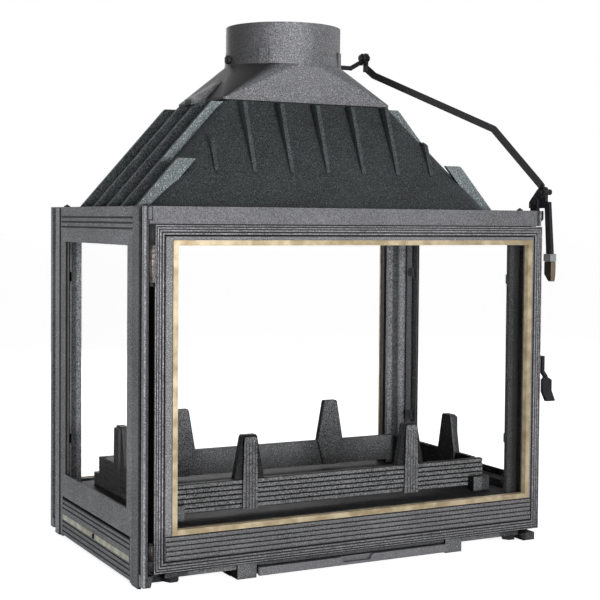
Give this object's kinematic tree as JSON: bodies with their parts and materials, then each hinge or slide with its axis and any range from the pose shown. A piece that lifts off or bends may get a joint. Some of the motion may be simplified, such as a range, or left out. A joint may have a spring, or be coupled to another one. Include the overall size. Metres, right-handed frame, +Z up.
{
  "type": "fireplace insert",
  "caption": "Cast-iron fireplace insert with glazed front, rear and sides, brass-trimmed hinged door, sloping ribbed hood with round flue collar, lever-worked damper and ash pan.",
  "frame": {"origin": "middle of the body on the plane it stands on, which is the centre of the floor anchor holes", "axes": "+X to the right along the front, -Y out of the front, +Y to the rear, +Z up along the flue"},
  "size_m": [0.7385, 0.482, 0.8785],
  "materials": {
    "iron": "heat-resistant grey paint over fine cast texture",
    "dark_iron": "darker matt cast iron and blackened steel",
    "brass": "polished brass strip",
    "steel": "plain zinc-plated steel",
    "glass": "clear ceramic glass",
    "fibre": "woven ceramic-fibre rope and tape",
    "tip": "bronze-toned steel tip of the lever"
  },
  "bodies": {
    "firebox": {"hearth_base": "iron", "pillar_front_left": "iron", "pillar_front_right": "iron", "pillar_rear_left": "iron", "pillar_rear_right": "iron", "side_frame_left": "iron", "side_frame_right": "iron", "side_glass_left": "glass", "side_glass_right": "glass", "side_glass_clips": "steel", "skirt_left": "iron", "skirt_right": "iron", "skirt_brass": "brass", "skirt_studs": "dark_iron", "top_plate": "iron", "tie_rods": "steel", "tie_rod_nuts": "dark_iron", "smoke_baffle": "dark_iron", "hood": "dark_iron", "flue_cap": "iron", "cap_bolts": "steel", "fire_grate": "dark_iron", "fence_front": "dark_iron", "fence_rear": "dark_iron", "fence_left": "dark_iron", "fence_right": "dark_iron", "levelling_bolts": "dark_iron", "hinge_pins": "steel", "latch_keeper": "steel", "rear_frame": "iron", "rear_glass": "glass", "rear_glass_tape": "fibre", "rear_rope": "fibre", "rear_glass_clips": "steel", "rear_trim_left": "brass", "rear_trim_right": "brass", "rear_frame_bolts": "dark_iron", "lever_bracket": "dark_iron", "bracket_bolts": "dark_iron", "lever_pivot_pin": "steel"},
    "front_door": {"front_door_frame": "iron", "front_door_glass": "glass", "front_glass_tape": "fibre", "front_door_rope": "fibre", "front_glass_clips": "steel", "front_trim_left": "brass", "front_trim_right": "brass", "latch_pin": "steel"},
    "latch": {"latch_handle": "steel"},
    "lever": {"damper_lever": "dark_iron", "lever_clip": "steel", "lever_tip": "tip", "link_knob_bolt": "dark_iron"},
    "link": {"link_arm": "dark_iron"},
    "damper": {"damper_plate": "dark_iron", "damper_spindle": "dark_iron", "plate_screws": "steel", "spindle_nut": "steel", "crank_bolt": "steel"},
    "ash_drawer": {"ash_pan": "iron"}
  },
  "joints": [
    {"name": "front_door_hinge", "type": "hinge", "parent": "firebox", "child": "front_door", "pos_m": [-0.346, -0.226, 0.283], "axis": [0, 0, 1], "range_deg": [-110, 0]},
    {"name": "latch_turn", "type": "hinge", "parent": "front_door", "child": "latch", "pos_m": [0.3643, -0.217, 0.307], "axis": [1, 0, 0], "range_deg": [-45, 0]},
    {"name": "damper_spindle_turn", "type": "hinge", "parent": "firebox", "child": "damper", "pos_m": [0, 0.041, 0.82], "axis": [1, 0, 0], "range_deg": [-80, 0]},
    {"name": "damper_lever_pivot", "type": "hinge", "parent": "firebox", "child": "lever", "pos_m": [0.367, -0.205, 0.582], "axis": [1, 0, 0], "range_deg": [-80, 0]},
    {"name": "link_lower_pivot", "type": "hinge", "parent": "lever", "child": "link", "pos_m": [0.3615, -0.222, 0.599], "axis": [1, 0, 0], "range_deg": [0, 80]},
    {"name": "ash_pan_slide", "type": "slide", "parent": "firebox", "child": "ash_drawer", "axis": [0, -1, 0], "range_m": [0, 0.3]}
  ],
  "couplings": [
    {"joint": "damper_lever_pivot", "follows": "damper_spindle_turn", "ratio": 1},
    {"joint": "link_lower_pivot", "follows": "damper_spindle_turn", "ratio": -1}
  ]
}
